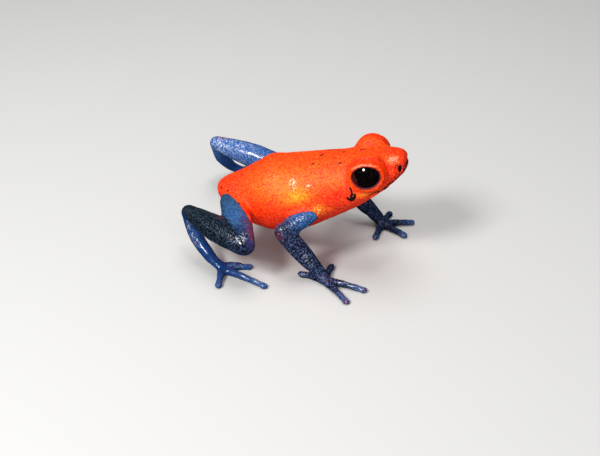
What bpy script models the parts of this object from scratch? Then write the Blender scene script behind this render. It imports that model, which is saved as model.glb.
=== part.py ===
"""A strawberry poison dart frog at life size, sitting still with its head raised.

The frog faces +X, its left side is +Y and +Z is up.  Lengths in this file are millimetres, and
the finished meshes are scaled to metres.  The frog is modelled whole, as skin-tight tubes and
lofts fused into one body, and is then parted at its joints with thin cuts.
"""

import math

import bmesh
import bpy
import numpy as np
from mathutils import Matrix, Vector
from mathutils.bvhtree import BVHTree

# Driving sizes, in millimetres
METRES = 0.001
JOINT_GAP = 0.3
BODY_LENGTH = 21.07
BODY_PITCH = math.radians(16.2)
VENT = (-15.0, 0.0, 6.2)
EYEBALL_RADIUS = 1.48

# How finely the skin is made
FUSE_VOXEL = 0.11
SMOOTH_SHARE = 0.5
SMOOTH_PASSES = 6
SKIN_TRIANGLES = 10200
RING_SIDES = 40
TUBE_SIDES = 20
BALL_SIDES = 24
NOSTRIL_SIDES = 10
CAP_ANGLES = (0.3, 0.75, 1.2, 1.57)
CURVE_STEPS = 4
SHARP_ANGLE = math.radians(40)
WELD = 0.002

# The body from vent to snout tip, in its own tilted frame.  Each row is the distance from the
# vent, the height of the back, the height of the belly, the half width and the height at which
# the body is widest.
BODY_ROWS = (
    (0.0, 0.0, -0.5, 0.3, -0.3),
    (0.4, 0.57, -1.6, 1.13, -0.5),
    (1.4, 1.0, -3.2, 1.78, -0.9),
    (3.0, 1.34, -4.6, 2.65, -1.4),
    (5.0, 1.96, -5.4, 3.6, -1.85),
    (6.6, 2.52, -5.7, 4.15, -2.0),
    (8.2, 2.27, -5.75, 4.35, -2.0),
    (9.9, 2.15, -5.5, 4.25, -1.9),
    (12.2, 2.05, -4.9, 3.85, -1.7),
    (14.4, 1.92, -4.25, 3.55, -1.45),
    (16.2, 1.75, -3.46, 3.5, -1.4),
    (17.8, 1.6, -2.44, 3.27, -1.2),
    (19.1, 1.5, -1.62, 2.75, -0.8),
    (20.15, 1.3, -0.98, 2.03, -0.35),
    (20.8, 1.0, -0.46, 1.33, 0.05),
    (21.07, 0.45, 0.05, 0.4, 0.25),
)

# The eyes and the marks of the face, in the body's frame: along, left and up
EYE_CENTRE = (17.28, 2.25, 0.3)
LID_CENTRE = (17.22, 2.12, 0.3)
LID_RADII = (2.03, 1.62, 2.0)
LID_OPENING = (1.6, 1.34)
LID_SEAT = 1.83
LID_RADIUS = 0.25
LID_TILT = math.radians(9)
HEAD_TURN = math.tan(math.radians(5))
LID_STEPS = 16
NOSTRIL = (20.35, 1.38, 0.05)
NOSTRIL_RADIUS = 0.22
CHEEK_CENTRE = (17.75, 2.7, -1.1)
CHEEK_RADII = (1.4, 0.7, 0.55)
EARDRUM = (15.15, -1.35)
EARDRUM_BALL = 0.85
EARDRUM_DEPTH = 0.2

# The mouth: its line drops from the snout to the corners, where it fades out.  Each lip is its
# rise above the line and its radius.
MOUTH_FRONT = -0.1
MOUTH_BACK = -2.38
MOUTH_CORNER = 16.0
MOUTH_STEPS = 11
SNOUT_ROUND = 0.15
UPPER_LIP = (0.44, 0.42)
LOWER_LIP = (-0.32, 0.26)
LIP_SINK = 0.7
LIP_CORNER_SINK = 0.3
LIP_TAPER = 0.4
MOUTH_DEPTH = 0.28
MOUTH_GROOVE = 0.24
MOUTH_CLEAR = 1.0
MOUTH_FADE = -0.15

# Where the body is parted from the head and the limbs: along the body and up its side.  The
# reaches of a cut are how far its plate goes ahead, behind and to each side.
NECK = (14.3, 0.0, -1.5)
NECK_REACHES = (5.0, 5.0, 5.0)
HIP_ROOT = (2.5, -1.1)
HIP_REACHES = (4.2, 2.6, 2.4)
SHOULDER_ROOT = (11.1, -2.7)
SHOULDER_REACHES = (2.4, 3.4, 2.2)
ROOT_LIFT = 0.25
WRIST_REACHES = (1.9, 2.3, 1.5)
KNEE_SPARE = 0.25
HEEL_SPARE = 0.1
FLANK_STEP = 0.2

# Joints of each side's limbs, on the floor's level: ahead, left and up from between the hands
JOINTS = {
    "r": {
        "shoulder": (-2.8, -2.9, 7.25),
        "elbow": (-6.2, -5.8, 5.35),
        "wrist": (-2.7, -5.6, 1.15),
        "palm": (-1.8, -6.1, 0.5),
        "hip": (-12.9, -1.7, 5.65),
        "knee": (-9.7, -8.1, 4.7),
        "heel": (-17.0, -3.9, 4.9),
        "ankle": (-13.9, -6.3, 1.2),
        "sole": (-12.6, -6.75, 0.5),
    },
    "l": {
        "shoulder": (-2.8, 2.9, 7.25),
        "elbow": (-3.1, 6.6, 5.2),
        "wrist": (1.3, 6.2, 1.15),
        "palm": (2.1, 5.85, 0.5),
        "hip": (-12.9, 1.7, 5.65),
        "knee": (-9.6, 8.3, 4.7),
        "heel": (-18.3, 9.9, 5.8),
        "ankle": (-17.6, 12.9, 1.2),
        "sole": (-16.5, 13.3, 0.5),
    },
}

# Fingers and toes: direction in degrees from straight ahead towards the left, and length
FINGERS = {
    "r": ((86, 3.0), (-8, 4.8), (-45, 4.6), (168, 3.0)),
    "l": ((-95, 3.0), (-29, 3.6), (22, 3.8), (80, 2.9)),
}
TOES = {
    "r": ((60, 1.4), (40, 2.2), (24, 3.3), (-19, 5.8), (-80, 3.2)),
    "l": ((-80, 1.7), (-56, 2.5), (-35, 3.4), (6, 5.9), (60, 3.3)),
}

# A digit's rows: share of its length, height of its middle over rest, and radius
DIGIT_ROWS = ((0.0, 0.0, 0.5), (0.4, 0.12, 0.38), (0.75, 0.03, 0.32), (0.93, 0.0, 0.32))
DIGIT_RADIUS = 0.34
DISC_RADII = (0.5, 0.48, 0.27)
FLOOR_SINK = 0.07
FLOOR_REACH = 40.0
FLOOR_DEPTH = 5.0

# Thickness of the limbs, as radii at their ends and in the middle
UPPER_ARM = (1.0, 0.95, 0.95)
FOREARM = (0.95, 1.0, 0.75)
THIGH = (1.3, 1.5, 1.15)
SHANK = (1.15, 1.38, 0.85)
TARSUS = (0.8, 0.75, 0.64)
TARSUS_BOW = (-0.4, 0.1, -0.35)
PALM = (0.75, 0.75)
PALM_FLATNESS = 0.75
FOOT = (0.62, 0.6)
FOOT_FLATNESS = 0.8

# Colour, roughness and metallic value of each finish
FINISHES = {
    "red_skin": ((0.80, 0.07, 0.01), 0.32, 0.0),
    "blue_skin": ((0.03, 0.08, 0.30), 0.30, 0.0),
    "dark_skin": ((0.02, 0.03, 0.07), 0.34, 0.0),
    "eye_black": ((0.006, 0.005, 0.006), 0.05, 0.0),
}


def clear_scene():
    """Removes whatever the file holds."""
    for item in list(bpy.data.objects):
        bpy.data.objects.remove(item, do_unlink=True)


def body_point(along, left, up):
    """A point of the body's tilted frame, set upright over the floor."""
    forward = Vector((math.cos(BODY_PITCH), 0.0, math.sin(BODY_PITCH)))
    above = Vector((-math.sin(BODY_PITCH), 0.0, math.cos(BODY_PITCH)))
    return Vector(VENT) + forward * along + Vector((0.0, left, 0.0)) + above * up


def smooth_rows(rows, steps):
    """Rows on a Catmull-Rom curve through the given rows, with so many steps between two."""
    rows = np.array(rows, dtype=float)
    padded = np.vstack([2 * rows[0] - rows[1], rows, 2 * rows[-1] - rows[-2]])
    found = []
    for index in range(len(rows) - 1):
        before, start, end, after = padded[index:index + 4]
        for step in range(steps):
            t = step / steps
            straight = (end - before) * t
            bent = (2 * before - 5 * start + 4 * end - after) * t ** 2
            twisted = (3 * start - before - 3 * end + after) * t ** 3
            found.append(0.5 * (2 * start + straight + bent + twisted))
    found.append(rows[-1])
    return np.array(found)


def loft(name, rings):
    """A closed mesh object through rings of points, each end closed by a fan."""
    mesh = bmesh.new()
    loops = [[mesh.verts.new(point) for point in ring] for ring in rings]
    sides = len(loops[0])
    for lower, upper in zip(loops, loops[1:]):
        for side in range(sides):
            other = (side + 1) % sides
            mesh.faces.new((lower[side], lower[other], upper[other], upper[side]))
    for loop in (loops[0], loops[-1]):
        middle = sum((vertex.co for vertex in loop), Vector()) / sides
        pole = mesh.verts.new(middle)
        for side in range(sides):
            mesh.faces.new((loop[side], loop[(side + 1) % sides], pole))
    bmesh.ops.recalc_face_normals(mesh, faces=mesh.faces)
    data = bpy.data.meshes.new(name)
    mesh.to_mesh(data)
    mesh.free()
    item = bpy.data.objects.new(name, data)
    bpy.context.scene.collection.objects.link(item)
    return item


def body_ring(row):
    """One cross-section of the body: two half ovals that meet where it is widest."""
    along, top, bottom, half_width, widest = row
    ring = []
    for side in range(RING_SIDES):
        angle = 2 * math.pi * side / RING_SIDES
        left = half_width * math.cos(angle)
        height = top - widest if math.sin(angle) > 0 else widest - bottom
        ring.append(body_point(along, left, widest + height * math.sin(angle)))
    return ring


def make_body():
    """The head and torso in one."""
    rows = smooth_rows(BODY_ROWS, CURVE_STEPS)
    return loft("body", [body_ring(row) for row in rows])


def tube(name, rows, flat=1.0):
    """A round-ended tube along rows of position and radius, squeezed in height by flat."""
    rows = smooth_rows(rows, CURVE_STEPS)
    points = [Vector(row[:3]) for row in rows]
    radii = [row[3] for row in rows]
    rings = []
    side_way = Vector((0.0, 1.0, 0.0))
    for index, (point, radius) in enumerate(zip(points, radii)):
        ahead = points[min(index + 1, len(points) - 1)] - points[max(index - 1, 0)]
        ahead.normalize()
        across = (side_way - ahead * side_way.dot(ahead)).normalized()
        above = ahead.cross(across)
        side_way = across
        caps = [(0.0, 1.0)]
        if index == 0:
            caps = [(-math.cos(angle), math.sin(angle)) for angle in CAP_ANGLES]
        if index == len(points) - 1:
            caps = [(math.cos(angle), math.sin(angle)) for angle in reversed(CAP_ANGLES)]
        for shift, share in caps:
            centre = point + ahead * radius * shift
            ring = []
            for side in range(TUBE_SIDES):
                angle = 2 * math.pi * side / TUBE_SIDES
                out = across * math.cos(angle) + above * math.sin(angle) * flat
                ring.append(centre + out * radius * share)
            rings.append(ring)
    return loft(name, rings)


def ball(name, centre, radii, turn=None, sides=BALL_SIDES):
    """An oval ball with its own three radii, turned by a matrix."""
    mesh = bmesh.new()
    bmesh.ops.create_uvsphere(mesh, u_segments=sides, v_segments=sides // 2, radius=1.0)
    bmesh.ops.scale(mesh, vec=radii, verts=mesh.verts)
    if turn is not None:
        bmesh.ops.transform(mesh, matrix=turn, verts=mesh.verts)
    bmesh.ops.translate(mesh, vec=centre, verts=mesh.verts)
    data = bpy.data.meshes.new(name)
    mesh.to_mesh(data)
    mesh.free()
    item = bpy.data.objects.new(name, data)
    bpy.context.scene.collection.objects.link(item)
    return item


def limb_part(name, start, end, radii, bow=(0.0, 0.0, 0.0)):
    """A limb's fleshy length between two joints, bowed out a little in the middle."""
    start = Vector(start)
    end = Vector(end)
    middle = (start + end) / 2 + Vector(bow)
    rows = ((*start, radii[0]), (*middle, radii[1]), (*end, radii[2]))
    return tube(name, rows)


def digit(name, root, direction, length):
    """A finger or toe along the floor, ending in its disc."""
    angle = math.radians(direction)
    way = Vector((math.cos(angle), math.sin(angle), 0.0))
    rest = DIGIT_RADIUS - FLOOR_SINK
    start = Vector((root[0], root[1], 0.0))
    rows = []
    for share, height, radius in DIGIT_ROWS:
        spot = start + way * length * share
        rows.append((spot.x, spot.y, rest + height, radius))
    tip = start + way * (length - DISC_RADII[0])
    turn = Matrix.Rotation(angle, 4, "Z")
    disc_centre = (tip.x, tip.y, DISC_RADII[2] - FLOOR_SINK)
    return [tube(name, rows), ball(name + "_disc", disc_centre, DISC_RADII, turn)]


def make_limbs(side):
    """All the flesh of one side's arm and leg."""
    joint = JOINTS[side]
    pieces = [
        limb_part("upper_arm", joint["shoulder"], joint["elbow"], UPPER_ARM),
        limb_part("forearm", joint["elbow"], joint["wrist"], FOREARM),
        limb_part("thigh", joint["hip"], joint["knee"], THIGH),
        limb_part("shank", joint["knee"], joint["heel"], SHANK),
        limb_part("tarsus", joint["heel"], joint["ankle"], TARSUS, TARSUS_BOW),
        tube("palm", ((*joint["wrist"], PALM[0]), (*joint["palm"], PALM[1])), PALM_FLATNESS),
        tube("foot", ((*joint["ankle"], FOOT[0]), (*joint["sole"], FOOT[1])), FOOT_FLATNESS),
    ]
    for number, (direction, length) in enumerate(FINGERS[side]):
        pieces += digit(f"finger_{number}", joint["palm"], direction, length)
    for number, (direction, length) in enumerate(TOES[side]):
        pieces += digit(f"toe_{number}", joint["sole"], direction, length)
    return pieces


def mirrored(place, side):
    """The place on the right or left of the body's middle."""
    sign = -1.0 if side == "r" else 1.0
    return (place[0], place[1] * sign, place[2])


def face_place(place, side):
    """The place on the right or left of the head, whose face is turned a little to the left."""
    along, left, up = mirrored(place, side)
    return (along - HEAD_TURN * left, left, up)


def apply_modifiers(item):
    """Turns an object's modifiers into its own mesh."""
    graph = bpy.context.evaluated_depsgraph_get()
    done = bpy.data.meshes.new_from_object(item.evaluated_get(graph))
    item.modifiers.clear()
    item.data = done


def fuse(pieces):
    """One smooth skin over overlapping pieces."""
    mesh = bmesh.new()
    for piece in pieces:
        mesh.from_mesh(piece.data)
        bpy.data.objects.remove(piece, do_unlink=True)
    data = bpy.data.meshes.new("skin")
    mesh.to_mesh(data)
    mesh.free()
    skin = bpy.data.objects.new("skin", data)
    bpy.context.scene.collection.objects.link(skin)
    remesh = skin.modifiers.new("fuse", "REMESH")
    remesh.mode = "VOXEL"
    remesh.voxel_size = FUSE_VOXEL
    even = skin.modifiers.new("even", "SMOOTH")
    even.factor = SMOOTH_SHARE
    even.iterations = SMOOTH_PASSES
    apply_modifiers(skin)
    triangles = sum(len(face.vertices) - 2 for face in skin.data.polygons)
    fewer = skin.modifiers.new("fewer", "DECIMATE")
    fewer.ratio = SKIN_TRIANGLES / triangles
    fewer.use_collapse_triangulate = True
    apply_modifiers(skin)
    return skin


def subtract(item, cutter):
    """Cuts one closed object out of another and removes the cutter."""
    cut = item.modifiers.new("cut", "BOOLEAN")
    cut.operation = "DIFFERENCE"
    cut.solver = "EXACT"
    cut.object = cutter
    apply_modifiers(item)
    bpy.data.objects.remove(cutter, do_unlink=True)


def slab(centre, normal, along, reach_ahead, reach_behind, half_width):
    """A thin plate square to the normal, long in one direction."""
    normal = Vector(normal).normalized()
    along = (Vector(along) - normal * Vector(along).dot(normal)).normalized()
    across = normal.cross(along)
    corners = []
    for height in (-JOINT_GAP / 2, JOINT_GAP / 2):
        middle = Vector(centre) + normal * height
        for side in (-half_width, half_width):
            ends = (-reach_behind, reach_ahead) if side < 0 else (reach_ahead, -reach_behind)
            corners += [middle + across * side + along * end for end in ends]
    return box_of_corners("slab", corners)


def box_of_corners(name, corners):
    """A closed box from four lower and four upper corners."""
    mesh = bmesh.new()
    verts = [mesh.verts.new(corner) for corner in corners]
    mesh.faces.new(verts[:4])
    mesh.faces.new(verts[4:])
    for index in range(4):
        after = (index + 1) % 4
        mesh.faces.new((verts[index], verts[after], verts[after + 4], verts[index + 4]))
    bmesh.ops.recalc_face_normals(mesh, faces=mesh.faces)
    data = bpy.data.meshes.new(name)
    mesh.to_mesh(data)
    mesh.free()
    item = bpy.data.objects.new(name, data)
    bpy.context.scene.collection.objects.link(item)
    return item


def bend_cut(before, joint, after, radius):
    """The cut across a bent limb at a joint, along the line that halves its angle."""
    joint = Vector(joint)
    back = (Vector(before) - joint).normalized()
    ahead = (Vector(after) - joint).normalized()
    half_angle = back.angle(ahead) / 2
    halfway = (back + ahead).normalized()
    reach = (radius + JOINT_GAP) / math.sin(half_angle) + JOINT_GAP
    return slab(joint, back - ahead, halfway, reach, radius * 2, radius * 2)


def body_row_at(along):
    """The body's row at a distance from the vent."""
    rows = smooth_rows(BODY_ROWS, CURVE_STEPS)
    return [float(np.interp(along, rows[:, 0], rows[:, column])) for column in range(5)]


def half_width_at(along, up):
    """The body's half width at a distance from the vent and at a height."""
    _, top, bottom, half_width, widest = body_row_at(along)
    height = top - widest if up > widest else widest - bottom
    return half_width * math.sqrt(max(0.0, 1 - ((up - widest) / height) ** 2))


def flank(along, up, side):
    """A point of the body's side and the direction that it faces."""
    step = FLANK_STEP
    sign = mirrored((0, 1, 0), side)[1]
    here = body_point(along, sign * half_width_at(along, up), up)
    ahead = body_point(along + step, sign * half_width_at(along + step, up), up) - here
    above = body_point(along, sign * half_width_at(along, up + step), up + step) - here
    facing = ahead.cross(above).normalized()
    if facing.y * sign < 0:
        facing = -facing
    return here, facing


def root_cut(root, side, reaches):
    """The cut that parts a limb from the flank it grows from."""
    here, facing = flank(*root, side)
    forward = body_point(1, 0, 0) - body_point(0, 0, 0)
    return slab(here + facing * ROOT_LIFT, facing, forward, *reaches)


def mouth_height(along):
    """The height of the mouth's line, which drops towards its corners."""
    share = (BODY_LENGTH - along) / (BODY_LENGTH - MOUTH_CORNER)
    return MOUTH_FRONT + (MOUTH_BACK - MOUTH_FRONT) * share


def mouth_outline(rise, inset, corner_inset):
    """Points round the snout beside the mouth's line, moved up by rise and in by an inset that
    changes towards the corners."""
    half = []
    for step in range(MOUTH_STEPS):
        share = math.sin(math.pi / 2 * step / (MOUTH_STEPS - 1))
        along = MOUTH_CORNER + (BODY_LENGTH - SNOUT_ROUND - MOUTH_CORNER) * share
        half.append((along, half_width_at(along, mouth_height(along))))
    outline = [(along, -left) for along, left in half]
    outline.append((BODY_LENGTH, 0.0))
    outline += [(along, left) for along, left in reversed(half)]
    points = []
    for index, (along, left) in enumerate(outline):
        before = outline[max(index - 1, 0)]
        after = outline[min(index + 1, len(outline) - 1)]
        way = Vector((after[0] - before[0], after[1] - before[1])).normalized()
        inward = Vector((-way.y, way.x))
        if inward.x * (MOUTH_CORNER - along) + inward.y * (-left) < 0:
            inward = -inward
        front_share = math.sin(math.pi * index / (len(outline) - 1)) ** 0.5
        depth = corner_inset + (inset - corner_inset) * front_share
        spot = Vector((along, left)) + inward * depth
        points.append(body_point(spot.x, spot.y, mouth_height(along) + rise))
    return points


def mouth_groove():
    """A thin curved band that cuts the mouth's line into the head."""
    inner_low = mouth_outline(-MOUTH_GROOVE / 2, MOUTH_DEPTH, MOUTH_FADE)
    inner_high = mouth_outline(MOUTH_GROOVE / 2, MOUTH_DEPTH, MOUTH_FADE)
    outer_high = mouth_outline(MOUTH_GROOVE / 2, -MOUTH_CLEAR, -MOUTH_CLEAR)
    outer_low = mouth_outline(-MOUTH_GROOVE / 2, -MOUTH_CLEAR, -MOUTH_CLEAR)
    return loft("mouth_groove", list(zip(inner_low, inner_high, outer_high, outer_low)))


def lip(name, rise, radius):
    """A soft ridge beside the mouth's line, thinner at the corners."""
    sink = radius * LIP_SINK
    points = mouth_outline(rise, sink, sink + LIP_CORNER_SINK)[::2]
    rows = []
    for index, point in enumerate(points):
        share = math.sin(math.pi * index / (len(points) - 1))
        rows.append((*point, radius * (LIP_TAPER + (1 - LIP_TAPER) * share ** 0.5)))
    return tube(name, rows)


def make_face(side):
    """The bulge over one eye, the cheek under it, and the rounded rim of its lids."""
    bulge = ball("bulge", body_point(*face_place(LID_CENTRE, side)), LID_RADII, body_turn())
    cheek = ball("cheek", body_point(*face_place(CHEEK_CENTRE, side)), CHEEK_RADII, body_turn())
    rows = []
    for step in range(LID_STEPS + 1):
        angle = 2 * math.pi * step / LID_STEPS
        along = LID_OPENING[0] * math.cos(angle)
        up = LID_OPENING[1] * math.sin(angle)
        out = math.sqrt(LID_SEAT ** 2 - along ** 2 - up ** 2)
        turned_out = out * math.cos(LID_TILT) - up * math.sin(LID_TILT)
        turned_up = up * math.cos(LID_TILT) + out * math.sin(LID_TILT)
        place = (EYE_CENTRE[0] + along, EYE_CENTRE[1] + turned_out, EYE_CENTRE[2] + turned_up)
        rows.append((*body_point(*face_place(place, side)), LID_RADIUS))
    return [bulge, cheek, tube("lid_rim", rows)]


def body_turn():
    """The turn from upright to the body's tilt."""
    return Matrix.Rotation(-BODY_PITCH, 4, "Y")


def cut_apart(skin):
    """Parts the skin at the neck and at every joint of the limbs."""
    forward = body_point(1, 0, 0) - body_point(0, 0, 0)
    up = body_point(0, 0, 1) - body_point(0, 0, 0)
    subtract(skin, slab(body_point(*NECK), forward, up, *NECK_REACHES))
    for side, joint in JOINTS.items():
        subtract(skin, root_cut(HIP_ROOT, side, HIP_REACHES))
        subtract(skin, root_cut(SHOULDER_ROOT, side, SHOULDER_REACHES))
        subtract(skin, bend_cut(joint["shoulder"], joint["elbow"], joint["wrist"], UPPER_ARM[2]))
        subtract(skin, slab(joint["wrist"], (0, 0, 1), forward, *WRIST_REACHES))
        knee_radius = SHANK[0] + KNEE_SPARE
        subtract(skin, bend_cut(joint["hip"], joint["knee"], joint["heel"], knee_radius))
        heel_radius = TARSUS[0] + HEEL_SPARE
        subtract(skin, bend_cut(joint["knee"], joint["heel"], joint["ankle"], heel_radius))
        subtract(skin, bend_cut(joint["heel"], joint["ankle"], joint["sole"], TARSUS[2]))


def carve_face(skin):
    """Sinks the eye sockets, the mouth's line, the nostrils and the eardrums into the head."""
    socket = EYEBALL_RADIUS + JOINT_GAP
    subtract(skin, mouth_groove())
    for side in JOINTS:
        place = body_point(*face_place(EYE_CENTRE, side))
        subtract(skin, ball("socket", place, (socket, socket, socket), body_turn()))
        place = body_point(*face_place(NOSTRIL, side))
        subtract(skin, ball("nostril", place, (NOSTRIL_RADIUS,) * 3, sides=NOSTRIL_SIDES))
        here, facing = flank(*EARDRUM, side)
        place = here + facing * (EARDRUM_BALL - EARDRUM_DEPTH)
        subtract(skin, ball("eardrum", place, (EARDRUM_BALL,) * 3))


def flatten_soles(skin):
    """Cuts everything below the floor, which leaves small flats under the hands and feet."""
    corners = []
    for height in (-FLOOR_DEPTH, 0.0):
        for along, wide in ((-1, -1), (1, -1), (1, 1), (-1, 1)):
            corners.append((along * FLOOR_REACH, wide * FLOOR_REACH, height))
    subtract(skin, box_of_corners("floor", corners))


def between(start, end, share):
    """The point at a share of the way from one joint to the next."""
    return Vector(start).lerp(Vector(end), share)


def node_places():
    """A point inside the flesh of each named piece."""
    places = {"head": body_point(19, 0, -0.3), "torso": body_point(7, 0, -1.5)}
    for side, joint in JOINTS.items():
        places["upper_arm_" + side] = between(joint["shoulder"], joint["elbow"], 0.7)
        places["forearm_" + side] = between(joint["elbow"], joint["wrist"], 0.5)
        places["hand_" + side] = Vector(joint["palm"])
        places["thigh_" + side] = between(joint["hip"], joint["knee"], 0.6)
        places["shank_" + side] = between(joint["knee"], joint["heel"], 0.6)
        places["tarsus_" + side] = between(joint["heel"], joint["ankle"], 0.5)
        places["foot_" + side] = Vector(joint["sole"])
    return places


def closed_pieces(skin):
    """Each separate closed surface of the skin as a mesh of its own."""
    whole = bmesh.new()
    whole.from_mesh(skin.data)
    bpy.data.objects.remove(skin, do_unlink=True)
    bmesh.ops.remove_doubles(whole, verts=whole.verts, dist=WELD)
    bmesh.ops.dissolve_degenerate(whole, edges=whole.edges, dist=WELD)
    bmesh.ops.triangulate(whole, faces=whole.faces)
    whole.verts.index_update()
    whole.faces.index_update()
    unseen = set(whole.verts)
    pieces = []
    while unseen:
        group = set()
        front = [next(iter(unseen))]
        while front:
            vertex = front.pop()
            if vertex in group:
                continue
            group.add(vertex)
            front += [edge.other_vert(vertex) for edge in vertex.link_edges]
        unseen -= group
        order = sorted(group, key=lambda vertex: vertex.index)
        number = {vertex: index for index, vertex in enumerate(order)}
        faces = {face for vertex in order for face in vertex.link_faces}
        faces = sorted(faces, key=lambda face: face.index)
        corners = [[number[vertex] for vertex in face.verts] for face in faces]
        pieces.append(([vertex.co.copy() for vertex in order], corners))
    whole.free()
    return pieces


def holds(piece, place):
    """Whether a closed surface has the place inside it, by how often a line from there meets it."""
    tree = BVHTree.FromPolygons(piece[0], piece[1])
    way = Vector((0.3, 0.2, 0.93)).normalized()
    start = Vector(place)
    crossings = 0
    while True:
        spot, _, _, _ = tree.ray_cast(start, way)
        if spot is None:
            return crossings % 2 == 1
        crossings += 1
        start = spot + way * WELD


def finish(name):
    """The Principled material of one finish."""
    colour, roughness, metallic = FINISHES[name]
    material = bpy.data.materials.new(name)
    material.use_nodes = True
    shader = material.node_tree.nodes["Principled BSDF"]
    shader.inputs["Base Color"].default_value = (*colour, 1.0)
    shader.inputs["Roughness"].default_value = roughness
    shader.inputs["Metallic"].default_value = metallic
    material.diffuse_color = (*colour, 1.0)
    return material


def finish_of(node):
    """The finish that a named piece has."""
    if node.startswith("eye"):
        return "eye_black"
    if node in ("head", "torso"):
        return "red_skin"
    if node.startswith(("forearm", "hand", "shank")):
        return "dark_skin"
    return "blue_skin"


def add_node(name, data):
    """Names a piece, scales it to metres, shades it smooth and gives it its finish."""
    data.name = name
    data.transform(Matrix.Scale(METRES, 4))
    data.shade_smooth()
    data.set_sharp_from_angle(angle=SHARP_ANGLE)
    data.materials.append(finish(finish_of(name)))
    item = bpy.data.objects.new(name, data)
    bpy.context.scene.collection.objects.link(item)
    return item


def make_eye(side):
    """One eyeball."""
    place = body_point(*face_place(EYE_CENTRE, side))
    eye = ball("eye_" + side, place, (EYEBALL_RADIUS,) * 3, body_turn())
    data = eye.data
    bpy.data.objects.remove(eye, do_unlink=True)
    return add_node("eye_" + side, data)


def set_on_origin(items):
    """Moves all the pieces so that the origin lies under the middle of their box."""
    corners = [item.matrix_world @ vertex.co for item in items for vertex in item.data.vertices]
    lowest = [min(corner[axis] for corner in corners) for axis in range(3)]
    highest = [max(corner[axis] for corner in corners) for axis in range(3)]
    middle = Vector(((lowest[0] + highest[0]) / 2, (lowest[1] + highest[1]) / 2, lowest[2]))
    for item in items:
        item.data.transform(Matrix.Translation(-middle))


def main():
    clear_scene()
    pieces = [make_body(), lip("upper_lip", *UPPER_LIP), lip("lower_lip", *LOWER_LIP)]
    for side in JOINTS:
        pieces += make_limbs(side) + make_face(side)
    skin = fuse(pieces)
    flatten_soles(skin)
    cut_apart(skin)
    carve_face(skin)
    found = closed_pieces(skin)
    items = []
    for name, place in node_places().items():
        vertices, faces = next(piece for piece in found if holds(piece, place))
        data = bpy.data.meshes.new(name)
        data.from_pydata(vertices, [], faces)
        items.append(add_node(name, data))
    items += [make_eye(side) for side in JOINTS]
    set_on_origin(items)


main()
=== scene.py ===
import math

import bpy
import numpy as np
from mathutils import Matrix, Vector
from mathutils.bvhtree import BVHTree


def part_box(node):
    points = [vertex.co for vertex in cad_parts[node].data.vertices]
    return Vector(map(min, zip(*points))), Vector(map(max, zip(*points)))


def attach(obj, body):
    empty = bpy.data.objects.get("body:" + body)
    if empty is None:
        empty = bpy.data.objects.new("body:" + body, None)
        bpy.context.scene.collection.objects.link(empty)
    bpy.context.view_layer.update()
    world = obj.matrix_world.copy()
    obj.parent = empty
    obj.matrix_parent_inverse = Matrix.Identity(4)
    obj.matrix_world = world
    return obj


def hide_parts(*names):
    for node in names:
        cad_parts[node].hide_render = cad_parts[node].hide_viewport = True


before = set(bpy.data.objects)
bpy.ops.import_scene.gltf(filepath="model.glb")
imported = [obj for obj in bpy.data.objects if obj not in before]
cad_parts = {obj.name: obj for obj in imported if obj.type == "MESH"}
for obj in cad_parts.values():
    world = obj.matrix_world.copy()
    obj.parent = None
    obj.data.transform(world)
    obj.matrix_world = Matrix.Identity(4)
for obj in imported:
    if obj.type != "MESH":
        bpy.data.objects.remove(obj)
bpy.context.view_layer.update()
bpy.ops.object.select_all(action="DESELECT")
mm = 0.001
print("frame loaded:", len(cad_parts), "nodes")


# The body's own tilted frame, counted in mm from the vent: ahead, left and up

bodySet = {
    "tilt": math.radians(16.2),
    "headTurn": math.radians(5),  # the face looks a little to the left
    "turnStarts": (13.0, 15.5),  # where along the body the turn sets in and where it is full, mm
    "eyesFromVent": (17.28, 0.3),  # how far the eyes' middle is ahead of the vent and above it
}
leftWard = Vector((0, 1, 0))
ahead = Vector((math.cos(bodySet["tilt"]), 0, math.sin(bodySet["tilt"])))
above = Vector((-math.sin(bodySet["tilt"]), 0, math.cos(bodySet["tilt"])))
eyePlaces = {side: (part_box("eye_" + side)[0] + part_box("eye_" + side)[1]) / 2 for side in "rl"}
betweenEyes = (eyePlaces["r"] + eyePlaces["l"]) / 2


def bodyPoint(along, left, up):
    along -= bodySet["eyesFromVent"][0]
    up -= bodySet["eyesFromVent"][1]
    return betweenEyes + (ahead * along + leftWard * left + above * up) * mm


def bodyCoords(points):
    away = (points - np.array(betweenEyes)) / mm
    along = away @ np.array(ahead) + bodySet["eyesFromVent"][0]
    return np.stack([along, away[:, 1], away @ np.array(above) + bodySet["eyesFromVent"][1]], 1)


def faceCoords(points):  # the same, with both sides folded onto one and the face's turn taken out
    body = bodyCoords(points)
    along = body[:, 0] + math.tan(bodySet["headTurn"]) * body[:, 1]
    return np.stack([along, np.abs(body[:, 1]), body[:, 2]], 1)


# Joints of the limbs, in mm from the floor between the two hands

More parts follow.
